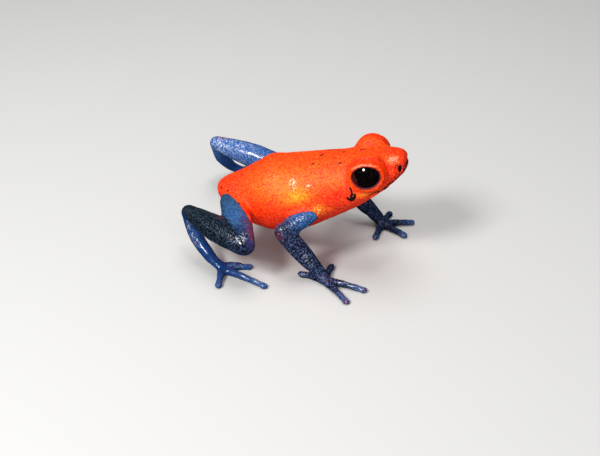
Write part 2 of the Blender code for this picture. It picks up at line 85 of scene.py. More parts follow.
handsMiddle = bodyPoint(0, 0, 0) - Vector((-15.0, 0, 6.2)) * mm
jointSet = {
    "r": {"shoulder": (-2.8, -2.9, 7.25), "elbow": (-6.2, -5.8, 5.35), "wrist": (-2.7, -5.6, 1.15),
          "palm": (-1.8, -6.1, 0.5), "hip": (-12.9, -1.7, 5.65), "knee": (-9.7, -8.1, 4.7),
          "heel": (-17.0, -3.9, 4.9), "ankle": (-13.9, -6.3, 1.2), "sole": (-12.6, -6.75, 0.5)},
    "l": {"shoulder": (-2.8, 2.9, 7.25), "elbow": (-3.1, 6.6, 5.2), "wrist": (1.3, 6.2, 1.15),
          "palm": (2.1, 5.85, 0.5), "hip": (-12.9, 1.7, 5.65), "knee": (-9.6, 8.3, 4.7),
          "heel": (-18.3, 9.9, 5.8), "ankle": (-17.6, 12.9, 1.2), "sole": (-16.5, 13.3, 0.5)},
}
digitSet = {  # direction in degrees from straight ahead towards the left, and length in mm
    "palm": {"r": ((86, 3.0), (-8, 4.8), (-45, 4.6), (168, 3.0)),
             "l": ((-95, 3.0), (-29, 3.6), (22, 3.8), (80, 2.9))},
    "sole": {"r": ((60, 1.4), (40, 2.2), (24, 3.3), (-19, 5.8), (-80, 3.2)),
             "l": ((-80, 1.7), (-56, 2.5), (-35, 3.4), (6, 5.9), (60, 3.3))},
}


def handCoords(points):  # in mm from the floor between the hands
    return (points - np.array(handsMiddle)) / mm


def joint(side, name):
    return np.array(jointSet[side][name])


def boneShare(places, start, end):  # how far along a bone each place lies, 0 to 1
    way = end - start
    return (places - start) @ way / (way @ way)


def smoothStep(low, high, value):
    part = np.clip((value - low) / (high - low), 0, 1)
    return part * part * (3 - 2 * part)


def bell(value, middle, width):
    return np.exp(-((value - middle) / width) ** 2)


def lineDistance(places, line):
    best = np.full(len(places), np.inf)
    for start, end in zip(line[:-1], line[1:]):
        start, end = np.array(start, float), np.array(end, float)
        part = np.clip(boneShare(places, start, end), 0, 1)
        away = places - start - part[:, None] * (end - start)
        best = np.minimum(best, np.linalg.norm(away, axis=1))
    return best


# Small helpers for meshes

smoothFactor = 0.5  # how far each round of smoothing moves a point towards its neighbours
leastWeight = 0.01  # points with less than this are left out of a group


def select(*items):
    bpy.ops.object.select_all(action="DESELECT")
    for item in items:
        item.select_set(True)
    bpy.context.view_layer.objects.active = items[-1]


def editAll(item):  # edit mode with everything selected
    select(item)
    bpy.ops.object.mode_set(mode="EDIT")
    bpy.ops.mesh.select_all(action="SELECT")


def editFaces(item, faces):  # edit mode with only these faces selected
    for kind in (item.data.vertices, item.data.edges, item.data.polygons):
        kind.foreach_set("select", [False] * len(kind))
    for face in faces:
        face.select = True
    select(item)
    bpy.ops.object.mode_set(mode="EDIT")
    bpy.ops.mesh.select_mode(type="FACE")


def shadeSmooth(item):
    for face in item.data.polygons:
        face.use_smooth = True


def applyAll(item):
    select(item)
    for modifier in list(item.modifiers):
        bpy.ops.object.modifier_apply(modifier=modifier.name)


def joined(*items):
    select(*items)
    bpy.ops.object.join()
    return bpy.context.view_layer.objects.active


def freshCopy(node):
    copy = node.copy()
    copy.data = node.data.copy()
    copy.parent = None
    copy.matrix_world = Matrix.Identity(4)
    bpy.context.scene.collection.objects.link(copy)
    return copy


def cut(item, cutter):
    change = item.modifiers.new("cut", "BOOLEAN")
    change.operation = "DIFFERENCE"
    change.solver = "EXACT"
    change.object = cutter
    applyAll(item)
    bpy.data.objects.remove(cutter, do_unlink=True)


def pointsOf(item):
    flat = np.empty(len(item.data.vertices) * 3)
    item.data.vertices.foreach_get("co", flat)
    return flat.reshape(-1, 3)


def normalsOf(item):
    flat = np.empty(len(item.data.vertices) * 3)
    item.data.vertex_normals.foreach_get("vector", flat)
    return flat.reshape(-1, 3)


def setPoints(item, points):
    item.data.vertices.foreach_set("co", points.ravel())
    item.data.update()


def edgesOf(item):
    ends = np.empty(len(item.data.edges) * 2, int)
    item.data.edges.foreach_get("vertices", ends)
    return ends.reshape(-1, 2).T


def blurred(item, value, times):  # evens out a value over the neighbouring points
    first, second = edgesOf(item)
    count = np.bincount(np.concatenate([first, second]), minlength=len(value)) + 1
    for _ in range(times):
        total = np.bincount(first, value[second], len(value))
        total = total + np.bincount(second, value[first], len(value))
        value = (value + total) / count
    return value


def group(item, name, weights):
    found = item.vertex_groups.new(name=name)
    for index in np.nonzero(weights > leastWeight)[0]:
        found.add([int(index)], float(weights[index]), "REPLACE")
    return name


def soften(item, weights, times):  # smooths the item where the weights say so
    change = item.modifiers.new("soften", "SMOOTH")
    change.factor = smoothFactor
    change.iterations = times
    change.vertex_group = group(item, "soften", weights)
    applyAll(item)
    item.vertex_groups.clear()


# Eyes: where the lids open, seen in the eye's own frame: along, up and out

eyeSet = {
    "radius": 1.74,  # mm
    "faces": (72, 36),  # segments and rings
    "tilt": math.radians(9),  # how far it looks up
    "gap": 0.015,  # between the eye and its socket, mm
    "opening": (1.52, 1.18),  # half the width and height between the lids, mm
    "shift": (-0.12, -0.06),  # the opening's middle from the eye's own, along and up, mm
    "lidsFrom": -0.3,  # how far out from the eye's middle the lids begin, mm
    "cutter": (64, 3.0),  # sides and length of the oval bar that cuts the opening, mm
    "filler": (1.68, 32, 16),  # radius and faces of the ball that fills the skin behind the lids
}


def eyeAxes(side):  # along, up and out, always a right-handed set
    sign = -1 if side == "r" else 1
    tilt, turn = eyeSet["tilt"], bodySet["headTurn"]
    faceLeft = leftWard * math.cos(turn) - ahead * math.sin(turn)
    outward = faceLeft * sign * math.cos(tilt) + above * math.sin(tilt)
    upward = above * math.cos(tilt) - faceLeft * sign * math.sin(tilt)
    return upward.cross(outward), upward, outward


def eyeMatrix(side):
    return Matrix.Translation(eyePlaces[side]) @ Matrix(eyeAxes(side)).transposed().to_4x4()


def eyeCoords(points, side):  # along, up and out from the eye's middle, in mm
    away = (points - np.array(eyePlaces[side])) / mm
    return [away @ np.array(axis) for axis in eyeAxes(side)]


def openingShift(side):  # the axis along runs backwards on the left
    along, up = eyeSet["shift"]
    return (along if side == "r" else -along), up


def lidReach(points, side):  # 1 on the edge of the lids' opening, more outside it
    along, up, out = eyeCoords(points, side)
    wide, high = eyeSet["opening"]
    shiftAlong, shiftUp = openingShift(side)
    reach = np.hypot((along - shiftAlong) / wide, (up - shiftUp) / high)
    return np.where(out > eyeSet["lidsFrom"], reach, np.inf), up


def eyeBall(name, side, radius, segments, rings):
    bpy.ops.mesh.primitive_uv_sphere_add(segments=segments, ring_count=rings, radius=radius * mm)
    item = bpy.context.view_layer.objects.active
    item.name = name
    item.data.name = name
    item.data.transform(eyeMatrix(side))
    return item


def openingCutter(side):  # an oval bar from the eye's middle outwards
    sides, length = eyeSet["cutter"]
    bpy.ops.mesh.primitive_cylinder_add(vertices=sides, radius=mm, depth=length * mm)
    item = bpy.context.view_layer.objects.active
    along, up = openingShift(side)
    item.data.transform(Matrix.Diagonal((*eyeSet["opening"], 1, 1)))
    item.data.transform(Matrix.Translation((along * mm, up * mm, length / 2 * mm)))
    item.data.transform(eyeMatrix(side))
    return item


# Skin: the flesh of all the nodes, joined over the thin gaps and remeshed

skinSet = {
    "merge": 0.002,  # mm
    "reach": 0.36,  # how far a cut face reaches over to its neighbour, mm
    "seen": 0.45,  # how far away a neighbour's face may be, mm
    "rayStart": 0.01,  # how far off its face a ray starts, mm
    "facing": -0.9,  # how straight a neighbour's face looks back, -1 for fully
    "alike": 0.97,  # how alike the faces of one cut point, 1 for fully
    "voxel": 0.14,  # mm
    "smooth": 6,  # rounds over the whole skin
    "nodeMargin": 0.4,  # how far outside a node's box its skin may lie, mm
    "joinWidth": 7,  # how many rounds of blur spread the softened band
    "joinGain": 5,  # and how much stronger it is made after it
    "joinSmooth": 9,  # rounds at every join
    "trunkSmooth": 38,  # rounds more where a limb meets the trunk
    "lumps": (0.9, 0.07),  # size and height of the skin's unevenness, mm
    "lumpsFade": (1.9, 2.8),  # how far from an eye's middle it begins and is full, mm
}
limbChains = (("torso", "upper_arm", "forearm", "hand"), ("torso", "thigh", "shank", "tarsus", "foot"))
neighbours = [("head", "torso")]
for side in "rl":
    for chain in limbChains:
        names = [chain[0]] + [name + "_" + side for name in chain[1:]]
        neighbours += zip(names[1:], names[:-1])
fleshNames = [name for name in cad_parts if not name.startswith("eye")]
flesh = {name: freshCopy(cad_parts[name]) for name in fleshNames}
surfaces = {}
for name, part in flesh.items():
    editAll(part)
    bpy.ops.mesh.remove_doubles(threshold=skinSet["merge"] * mm)
    bpy.ops.object.mode_set(mode="OBJECT")
    corners = [corner.co for corner in part.data.vertices]
    surfaces[name] = BVHTree.FromPolygons(corners, [face.vertices for face in part.data.polygons])


def facingFaces(part, surface):  # the flat cut faces that look straight at the neighbour
    found = []
    for face in part.data.polygons:
        start = face.center + face.normal * skinSet["rayStart"] * mm
        spot, normal, _, _ = surface.ray_cast(start, face.normal, skinSet["seen"] * mm)
        if spot is not None and normal.dot(face.normal) < skinSet["facing"]:
            found.append(face)
    way = sum((face.normal * face.area for face in found), Vector()).normalized()
    return [face for face in found if face.normal.dot(way) > skinSet["alike"]], way


for name, other in neighbours:
    found, way = facingFaces(flesh[name], surfaces[other])
    editFaces(flesh[name], found)
    bpy.ops.mesh.extrude_region_move(TRANSFORM_OT_translate={"value": way * skinSet["reach"] * mm})
    bpy.ops.object.mode_set(mode="OBJECT")
    print("joined", name, "to", other, len(found), "faces")
fillers = []
for side in "rl":
    cut(flesh["head"], openingCutter(side))
    fillers.append(eyeBall("filler", side, *eyeSet["filler"]))
skin = joined(*fillers, *flesh.values())
skin.name = "frog_skin"
skin.data.name = "frog_skin"
remesh = skin.modifiers.new("fuse", "REMESH")
remesh.mode = "VOXEL"
remesh.voxel_size = skinSet["voxel"] * mm
smooth = skin.modifiers.new("even", "SMOOTH")
smooth.factor = smoothFactor
smooth.iterations = skinSet["smooth"]
applyAll(skin)
editAll(skin)
bpy.ops.mesh.normals_make_consistent(inside=False)
bpy.ops.object.mode_set(mode="OBJECT")
print("skin remeshed:", len(skin.data.polygons), "faces")


def nearestNode(points):  # the number of the node that each point lies on
    best = np.full(len(points), np.inf)
    found = np.zeros(len(points), int)
    margin = skinSet["nodeMargin"] * mm
    for number, name in enumerate(fleshNames):
        low, high = (np.array(corner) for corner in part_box(name))
        near = np.all((points > low - margin) & (points < high + margin), axis=1)
        for index in np.nonzero(near)[0]:
            away = surfaces[name].find_nearest(points[index])[3]
            if away < best[index]:
                best[index], found[index] = away, number
    return found


def softenJoins(item):  # so that no limb looks plugged in
    owner = nearestNode(pointsOf(item))
    first, second = edgesOf(item)
    differs = owner[first] != owner[second]
    trunk = owner == fleshNames.index("torso")
    allJoins, trunkJoins = np.zeros(len(owner)), np.zeros(len(owner))
    for ends in (first, second):
        allJoins[ends[differs]] = 1
        trunkJoins[ends[differs & (trunk[first] | trunk[second])]] = 1
    for joins, times in ((allJoins, skinSet["joinSmooth"]), (trunkJoins, skinSet["trunkSmooth"])):
        band = blurred(item, joins, skinSet["joinWidth"]) * skinSet["joinGain"]
        soften(item, np.clip(band, 0, 1), times)


softenJoins(skin)
print("joins softened")


# Relief: the domes' feet, lids, nostrils, mouth, folds and digits, moved as a sculptor would

reliefSet = {
    "domeFoot": (2.0, 2.25, 3.0, 3.6),  # where the valley round an eye is softened, mm from the eye
    "domeRise": (-0.9, -0.2),  # how high on the eye the softening begins and is full, mm
    "domeSmooth": 54,  # rounds
    # lid band and crease: where, width, height, share of it below the eye, and where it grows
    "lids": ((1.18, 0.17, 0.03, 0.4, (-0.6, 0.5)), (1.45, 0.1, -0.07, 0.15, (-0.4, 0.6))),
    "nostril": ((20.45, 1.5, -0.05), 0.24, 0.34),  # place, width and depth, mm
    "nostrilRim": 0.05,  # its height, as a share of the depth
    "eardrum": ((15.45, 3.42, -1.5), 0.42, 0.12, 0.035),  # place, radius, width and height, mm
    "mouth": (21.07, -0.1, 2.28 / 5.07),  # where its line starts, its height there and its slope
    "mouthEnd": (16.4, 17.2),  # where along the body it fades out, mm
    "mouthGroove": (0.1, 0.1),  # width and depth, mm
    "fold": ((11.2, -4.2, -1.7), (12.07, -3.99, -1.99), (13.05, -3.68, -2.27), (13.69, -2.97, -3.3)),
    "foldGroove": (0.16, 0.1),
    "knuckles": (0.42, 0.72),  # shares of a digit's length
    "knuckle": (0.3, 0.05),  # width and height, mm
    "discGroove": (0.5, 0.08, 0.05),  # the tip's half length, and the groove's width and depth
    "discFaces": (0.2, 0.7),  # how far up its faces look
    "fineMargin": 0.24,  # how far round each small form the mesh is made finer, mm
    "fineShare": 0.8,  # the share of that margin that is smoothed after it
    "fineSmooth": 4,  # rounds
    "lidArea": 1.5,  # how far out the lids are finer, as lidReach counts it
    "tipArea": 0.6,  # and the tips of the digits, mm
}

markSet = {  # lines of black marks in body coordinates, each with its radius, mm
    "both": (
        (((15.56, -3.38, -0.56), (15.66, -3.44, -0.83), (15.64, -3.49, -1.15)), 0.1),
        (((15.91, -3.5, -1.27), (15.86, -3.5, -1.52), (15.62, -3.45, -1.81), (15.32, -3.43, -1.94),
          (15.14, -3.44, -1.73), (15.03, -3.38, -1.57)), 0.13),
        (((15.64, -3.49, -1.15), (15.45, -3.43, -1.5)), 0.12),
        (((15.35, -3.43, -1.68), (15.62, -3.45, -1.58)), 0.1),
        (((20.5, -1.5, -0.2), (20.55, -1.46, 0.02)), 0.25),
        (((0.88, -1.07, 0.35), (0.98, -1.15, 0.3)), 0.1),
        (((1.8, -1.75, 0.25), (1.95, -1.88, 0.15)), 0.1),
        (((3.0, -2.85, -0.3), (3.15, -2.95, -0.4)), 0.1),
        (((3.45, -3.7, -0.42), (3.6, -3.8, -0.5)), 0.1),
        (((2.5, -2.42, -0.2), (2.6, -2.5, -0.3)), 0.08),
        (((4.25, -4.3, -0.7), (4.5, -4.35, -0.95)), 0.09),
        (((1.77, -2.33, 0.77), (1.8, -2.3, 0.65)), 0.1),
        (((2.42, -2.7, 0.63), (2.45, -2.7, 0.5)), 0.11),
        (((4.4, -4.01, -0.93), (4.45, -4.0, -1.0)), 0.08),
    ),
    "single": (  # on the back, not mirrored
        (((13.1, 0.85, 1.86), (13.5, 1.0, 1.82)), 0.15),
        (((12.4, -0.25, 2.0), (12.65, -0.2, 2.0)), 0.12),
        (((11.75, -1.52, 1.75), (11.9, -1.5, 1.75)), 0.1),
        (((14.55, -1.62, 1.52), (14.8, -1.62, 1.52)), 0.1),
        (((14.75, 0.0, 1.88), (14.85, 0.15, 1.88)), 0.11),
        (((16.45, 0.4, 1.67), (17.1, 0.5, 1.67)), 0.09),
    ),
    "redEar": ((15.45, -3.45, -1.55), 0.32, 0.8),  # a dark red spot: place, radius and strength
    "jaw": ((17.3, -3.25, -1.75), (18.38, -2.89, -1.42), (18.91, -2.96, -1.22), (19.35, -2.68, -1.1),
            (19.71, -2.28, -1.03), (20.11, -1.98, -0.85), (20.46, -1.67, -0.68), (20.74, -1.33, -0.57),
            (20.88, -1.02, -0.41), (21.0, -0.5, -0.3), (21.05, 0, -0.25)),
    "jawWidth": 0.16,
    "snout": ((20.2, -1.65, 0.45), (0.45, 0.5, 0.4)),  # freckled, as the jaw is
    "snoutStrength": 0.8,
}


def rightCoords(points):  # body coordinates with the left side laid over the right
    body = bodyCoords(points)
    turn = 2 * math.tan(bodySet["headTurn"]) * smoothStep(*bodySet["turnStarts"], body[:, 0])
    along = body[:, 0] + turn * np.maximum(body[:, 1], 0)
    return np.stack([along, -np.abs(body[:, 1]), body[:, 2]], 1)


def mouthRise(face):  # how far each point is above the mouth's line
    start, height, slope = reliefSet["mouth"]
    return face[:, 2] - (height - slope * (start - face[:, 0]))


def digits():  # each finger's and toe's root, direction and length, seen from above
    for root, sides in digitSet.items():
        for side, rows in sides.items():
            for degrees, length in rows:
                angle = math.radians(degrees)
                yield joint(side, root)[:2], np.array((math.cos(angle), math.sin(angle))), length


def nearMarks(points, margin):  # where the small forms and marks lie
    right, body, face = rightCoords(points), bodyCoords(points), faceCoords(points)
    near = (np.abs(mouthRise(face)) < margin) & (face[:, 0] > reliefSet["mouthEnd"][0])
    near |= lineDistance(right, markSet["jaw"]) < margin
    near |= lineDistance(right, reliefSet["fold"]) < margin
    for places, rows in ((right, markSet["both"]), (body, markSet["single"])):
        for line, radius in rows:
            near |= lineDistance(places, line) < margin + radius
    for side in "rl":
        near |= lidReach(points, side)[0] < reliefSet["lidArea"]
    hands = handCoords(points)
    for start, way, length in digits():
        tip = start + way * (length - reliefSet["discGroove"][0])
        near |= np.linalg.norm(hands[:, :2] - tip, axis=1) < reliefSet["tipArea"]
    return near


def refine(item):  # twice as many points where the small forms and marks are
    near = nearMarks(pointsOf(item), reliefSet["fineMargin"])
    editFaces(item, [face for face in item.data.polygons if all(near[index] for index in face.vertices)])
    bpy.ops.mesh.subdivide(number_cuts=1)
    bpy.ops.object.mode_set(mode="OBJECT")
    near = nearMarks(pointsOf(item), reliefSet["fineMargin"] * reliefSet["fineShare"])
    soften(item, near * 1.0, reliefSet["fineSmooth"])


def softenDomes(item):  # so that the eyes' domes rise from the head without a sharp valley
    points = pointsOf(item)
    weights = np.zeros(len(points))
    start, full, less, end = reliefSet["domeFoot"]
    for side, place in eyePlaces.items():
        away = np.linalg.norm(points - np.array(place), axis=1) / mm
        rise = eyeCoords(points, side)[1]
        valley = smoothStep(start, full, away) * (1 - smoothStep(less, end, away))
        weights = np.maximum(weights, valley * smoothStep(*reliefSet["domeRise"], rise))
    soften(item, weights, reliefSet["domeSmooth"])


def roughen(item):  # the slight unevenness of living skin, kept off the lids
    points = pointsOf(item)
    fromEyes = [np.linalg.norm(points - np.array(place), axis=1) for place in eyePlaces.values()]
    away = np.min(fromEyes, axis=0) / mm
    size, height = skinSet["lumps"]
    lumps = bpy.data.textures.new("lumps", "CLOUDS")
    lumps.noise_scale = size * mm
    lumps.noise_depth = 1
    change = item.modifiers.new("lumps", "DISPLACE")
    change.texture = lumps
    change.texture_coords = "LOCAL"
    change.mid_level = 0.5
    change.strength = height * mm
    change.vertex_group = group(item, "rough", smoothStep(*skinSet["lumpsFade"], away))
    applyAll(item)
    item.vertex_groups.clear()


def sculpt(item):
    points = pointsOf(item)
    normals = normalsOf(item)
    face = faceCoords(points)
    amount = np.zeros(len(points))
    for side in "rl":
        reach, up = lidReach(points, side)
        for where, wide, high, below, grows in reliefSet["lids"]:
            amount += high * bell(reach, where, wide) * (below + (1 - below) * smoothStep(*grows, up))
    place, wide, deep = reliefSet["nostril"]
    away = np.linalg.norm(face - np.array(place), axis=1)
    amount += reliefSet["nostrilRim"] * deep * bell(away, 2 * wide, wide) - deep * bell(away, 0, wide)
    place, radius, wide, high = reliefSet["eardrum"]
    away = np.linalg.norm(face - np.array(place), axis=1)
    amount += high * bell(away, radius, wide)
    wide, deep = reliefSet["mouthGroove"]
    amount -= deep * smoothStep(*reliefSet["mouthEnd"], face[:, 0]) * bell(mouthRise(face), 0, wide)
    wide, deep = reliefSet["foldGroove"]
    amount -= deep * bell(lineDistance(rightCoords(points), reliefSet["fold"]), 0, wide)
    places = handCoords(points)[:, :2]
    for start, way, length in digits():
        wide, high = reliefSet["knuckle"]
        for part in reliefSet["knuckles"]:
            away = np.linalg.norm(places - start - way * length * part, axis=1)
            amount += high * bell(away, 0, wide)
        half, wide, deep = reliefSet["discGroove"]
        away = places - start - way * (length - half)
        across = away @ np.array((-way[1], way[0]))
        onDisc = (np.abs(away @ way) < half) * smoothStep(*reliefSet["discFaces"], normals[:, 2])
        amount -= deep * onDisc * bell(across, 0, wide)
    setPoints(item, points + normals * amount[:, None] * mm)


softenDomes(skin)
roughen(skin)
refine(skin)
print("small forms refined:", len(skin.data.polygons), "faces")
sculpt(skin)
for side in "rl":
    cut(skin, eyeBall("socket", side, eyeSet["radius"] + eyeSet["gap"], *eyeSet["faces"]))
points = pointsOf(skin)
points[:, 2] = np.maximum(points[:, 2], 0)  # nothing sinks into the floor
setPoints(skin, points)
shadeSmooth(skin)
print("skin sculpted:", sum(len(face.vertices) - 2 for face in skin.data.polygons), "triangles")


# Paint: the colours that the skin has at each point, partly with painted light in them, brushed on and
# stored as attributes

palette = {
    "red": (0.84, 0.012, 0.0008),
    "scarlet": (0.86, 0.026, 0.001),
    "orange": (0.88, 0.06, 0.0015),
    "amber": (0.9, 0.17, 0.004),
    "yellow": (0.95, 0.4, 0.008),
    "rose": (0.7, 0.01, 0.02),
    "crimson": (0.62, 0.006, 0.002),
    # painted highlight, pale pink
    "paintedPinkHighlight": (0.95, 0.42, 0.28),
    "night": (0.004, 0.005, 0.011),
    "navy": (0.005, 0.009, 0.03),
    "royal": (0.005, 0.03, 0.13),
    "blue": (0.014, 0.055, 0.19),
    "azure": (0.02, 0.085, 0.3),
    "sky": (0.08, 0.21, 0.46),
    "steel": (0.01, 0.036, 0.09),
    "teal": (0.05, 0.15, 0.25),
    "petrol": (0.028, 0.062, 0.085),
    "dusk": (0.045, 0.075, 0.18),
    "plum": (0.03, 0.025, 0.1),
    "lilac": (0.13, 0.09, 0.24),
    "wine": (0.13, 0.004, 0.008),
    "ash": (0.2, 0.26, 0.36),
    "slate": (0.007, 0.009, 0.028),
    "mist": (0.085, 0.125, 0.27),
    # painted highlight: a pale colour that stands in for sparkle and wet sheen on the grains
    "frost": (0.5, 0.56, 0.68),
}
# The orange, amber and yellow spots are partly the skin's own tone and partly painted light, lighter where
# the light falls strongest.
bodyPaint = (  # place on the right side, how far it reaches each way, colour and strength
    ((1.0, -1.5, 0.8), (3.0, 3.0, 2.0), "scarlet", 0.7),
    ((9.5, -1.2, 2.0), (6.5, 2.4, 1.2), "orange", 0.9),
    ((8.6, -3.2, 0.6), (4.6, 1.6, 1.8), "amber", 0.85),
    # partly the flank's own yellow and partly a painted highlight below the shining grains
    ((10.0, -3.9, -0.45), (1.3, 0.8, 0.7), "yellow", 0.9),
    ((13.9, -3.6, -1.2), (1.1, 0.9, 0.8), "red", 0.7),
    ((12.3, -3.8, -2.5), (0.9, 0.6, 0.6), "amber", 0.6),
    ((17.3, -1.2, 1.8), (3.2, 1.8, 1.0), "orange", 0.8),
    # painted highlight: amber where the neck's sheen falls
    ((14.2, -2.7, 0.2), (1.6, 0.9, 0.8), "amber", 0.6),
    # painted highlight: yellow where the armpit's sparkle falls
    ((11.9, -4.2, -2.1), (0.6, 0.6, 0.5), "yellow", 0.7),
    ((17.0, -3.5, -1.4), (0.9, 0.6, 0.4), "yellow", 0.6),
    # painted highlight: amber where the snout's sparkle falls
    ((20.0, -1.4, 0.85), (0.8, 0.5, 0.4), "amber", 0.6),
    ((20.9, -0.9, -0.1), (0.45, 0.9, 0.6), "rose", 0.6),
    # painted highlight on the snout
    ((20.0, -1.25, 0.95), (0.4, 0.3, 0.3), "paintedPinkHighlight", 0.6),
)
limbPaint = {  # share of the bone or mm from the palm or sole, ground, grain, graininess, wetness
    "upper_arm_r": ((0.0, "blue", "sky", 0.6, 0.7), (0.6, "blue", "sky", 0.8, 0.7),
                    (0.9, "slate", "mist", 1, 0.6)),
    "upper_arm_l": ((0.0, "blue", "sky", 0.6, 0.4), (1.0, "navy", "dusk", 1, 0.4)),
    "forearm_r": ((0.0, "slate", "mist", 1, 0.5), (0.6, "slate", "mist", 1, 0.9),
                  (1.0, "slate", "mist", 0.8, 0.9)),
    "forearm_l": ((0.0, "night", "dusk", 1, 0.5), (1.0, "navy", "dusk", 0.8, 0.8)),
    "hand_r": ((0.5, "slate", "mist", 0.9, 0.7), (2.4, "slate", "mist", 0.6, 0.9),
               (4.2, "blue", "ash", 0.3, 0.9)),
    "hand_l": ((0.5, "night", "dusk", 0.8, 0.5), (2.2, "navy", "dusk", 0.5, 0.8),
               (3.4, "blue", "ash", 0.3, 0.9)),
    "thigh_r": ((0.1, "steel", "teal", 0.7, 0.25), (0.6, "blue", "teal", 0.8, 0.3),
                (0.95, "navy", "dusk", 1, 0.9)),
    "thigh_l": ((0.1, "azure", "sky", 0.6, 0.3), (1.0, "royal", "sky", 0.8, 0.5)),
    # the near shank's near-black is partly painted shade
    "shank_r": ((0.0, "night", "dusk", 1, 1.0), (0.2, "night", "petrol", 1, 0.9),
                (1.0, "night", "petrol", 1, 0.4)),
    # the far shank's bright blue is partly painted light, and its grains turn pale towards the heel as a
    # painted sheen on its top
    "shank_l": ((0.0, "royal", "sky", 0.7, 0.7), (0.4, "azure", "ash", 0.6, 0.9),
                (1.0, "azure", "frost", 0.6, 1.0)),
    "tarsus_r": ((0.0, "royal", "azure", 0.4, 1.0), (1.0, "royal", "blue", 0.3, 0.9)),
    "tarsus_l": ((0.0, "azure", "sky", 0.4, 0.6), (1.0, "royal", "blue", 0.4, 0.6)),
    "foot_r": ((0.5, "royal", "blue", 0.5, 0.8), (2.5, "blue", "dusk", 0.3, 0.8),
               (5.5, "blue", "ash", 0.3, 0.9)),
    "foot_l": ((0.5, "royal", "blue", 0.5, 0.5), (2.5, "blue", "sky", 0.3, 0.6),
               (5.5, "blue", "ash", 0.3, 0.7)),
}
shoulderFade = (0.14, 0.34)  # the share of the upper arm where red gives way to blue
flankEdge = (-15.4, -15.1)  # ahead and left added up where the flank's skin begins, mm
flankEnd = (0.58, 0.72)  # the share of the thigh where it ends
paintBlur = 5  # rounds, over the seams from part to part
edgeBlur = 3  # rounds, over the edge between red and blue
boneEnds = {"upper_arm": ("shoulder", "elbow"), "forearm": ("elbow", "wrist"), "thigh": ("hip", "knee"),
            "shank": ("knee", "heel"), "tarsus": ("heel", "ankle")}
limbStrokes = (  # line from the floor between the hands, radius, colour, strength
    (((-10.05, -5.95, 6.3), (-9.39, -6.45, 5.75), (-8.96, -7.08, 5.25), (-8.71, -8.51, 5.0)),
     0.62, "plum", 0.95),
    (((-6.5, -6.6, 5.5), (-6.3, -6.8, 5.1)), 0.3, "wine", 0.8),
    (((-4.7, -4.4, 7.25), (-4.1, -4.2, 7.5), (-3.7, -4.1, 7.63)), 0.3, "lilac", 0.8),
    (((-17.9, 9.97, 6.7), (-17.2, 9.9, 6.65)), 0.35, "wine", 0.8),
    (((1.1, -9.3, 0.5), (1.35, -9.5, 0.3)), 0.3, "wine", 0.7),
    (((2.7, -6.9, 0.4), (3.0, -6.9, 0.3)), 0.3, "wine", 0.5),
)
paintedHighlightStrokes = (  # the same, for painted highlights: grains painted pale along the lines where sparkle and wet sheen fall
    (((-17.9, 9.3, 6.5), (-16.4, 9.0, 6.55), (-14.9, 8.6, 6.45)), 0.5, "frost", 0.9),
    (((-5.4, -5.8, 6.4), (-4.7, -5.3, 6.75), (-4.1, -4.9, 7.0)), 0.16, "frost", 1.0),
    (((-3.9, -6.5, 3.5), (-3.1, -6.4, 2.3)), 0.16, "frost", 0.9),
    (((-9.57, -7.98, 5.85), (-9.78, -8.67, 5.66), (-10.5, -8.6, 5.5)), 0.22, "frost", 1.0),
    (((-16.65, -5.0, 4.3), (-16.55, -5.2, 3.95)), 0.24, "frost", 1.0),
    (((-16.2, -5.5, 3.3), (-15.6, -6.0, 2.5)), 0.24, "frost", 1.0),
    (((-11.8, -6.5, 0.75), (-9.9, -5.7, 0.55)), 0.14, "frost", 0.9),
)
# the grain tips are also painted pale as highlights at these spots
wetSpots = (  # where the body shines: place on the right side, how far it reaches, strength
    ((9.75, -3.25, 0.7), (0.55, 0.7, 0.9), 1.0),
    ((11.3, -3.4, 0.23), (0.5, 0.5, 0.35), 0.9),
    ((7.7, -2.6, 1.5), (1.2, 0.7, 0.5), 0.5),
    ((11.9, -4.0, -2.2), (0.5, 0.5, 0.7), 1.0),
    ((20.0, -1.3, 0.9), (0.8, 0.7, 0.45), 1.0),
    ((4.9, -4.9, -1.5), (0.35, 0.6, 0.35), 1.0),
)
dryShine = 0.2  # how much the rest of the body shines
strokeEdges = {  # shares of its radius where each kind of stroke begins to fade and is gone
    "limb": (0.5, 1.5),
    # the grain strokes are painted highlights
    "grain": (0.6, 1.6),
    "mark": (0.6, 1.4),
    "ear": (0.6, 1.0),
    "jaw": (0.5, 2.0),
}
allRound = (-9, -8)  # a height below every point of an eye, mm
lidSet = {  # places as lidReach counts them, 1 on the lids' edge
    "rim": (0.99, 1.07),  # where the dark rim begins to fade and is gone
    "sleek": (1.2, 0.2),  # middle and width of the smooth, shiny band
    "rings": (  # colour, strength, middle, width, and how high above the eye's middle it sets in
        ("orange", 0.7, 1.16, 0.12, allRound),
        # painted highlight along the upper lid
        ("paintedPinkHighlight", 0.8, 1.16, 0.07, (0.8, 1.2)),
        # painted shade: a darker red ring in the lid's crease
        ("crimson", 0.85, 1.45, 0.11, allRound),
    ),
}


def brush(places, middle, size):
    return np.exp(-(((places - np.array(middle)) / np.array(size)) ** 2).sum(1))


def over(colour, name, strength):  # lays a palette colour over what is there
    return colour + (np.array(palette[name]) - colour) * strength[:, None]


def stroke(kind, away, radius):  # 1 near its line or place and 0 far from it
    begin, end = strokeEdges[kind]
    return 1 - smoothStep(begin * radius, end * radius, away)


def stopsAt(stops, part):  # the limb's paint at each share of its length
    where, grounds, tips, grainy, wet = zip(*stops)
    colours = []
    for names in (grounds, tips):
        rows = zip(*(palette[name] for name in names))
        colours.append(np.stack([np.interp(part, where, row) for row in rows], 1))
    return colours + [np.interp(part, where, row) for row in (grainy, wet)]


def storeValue(item, name, value):
    item.data.attributes.new(name, "FLOAT", "POINT").data.foreach_set("value", np.clip(value, 0, 1))


def storeColour(item, name, colour):
    rows = np.concatenate([np.clip(colour, 0, 1), np.ones((len(colour), 1))], 1)
    item.data.attributes.new(name, "FLOAT_COLOR", "POINT").data.foreach_set("color", rows.ravel())


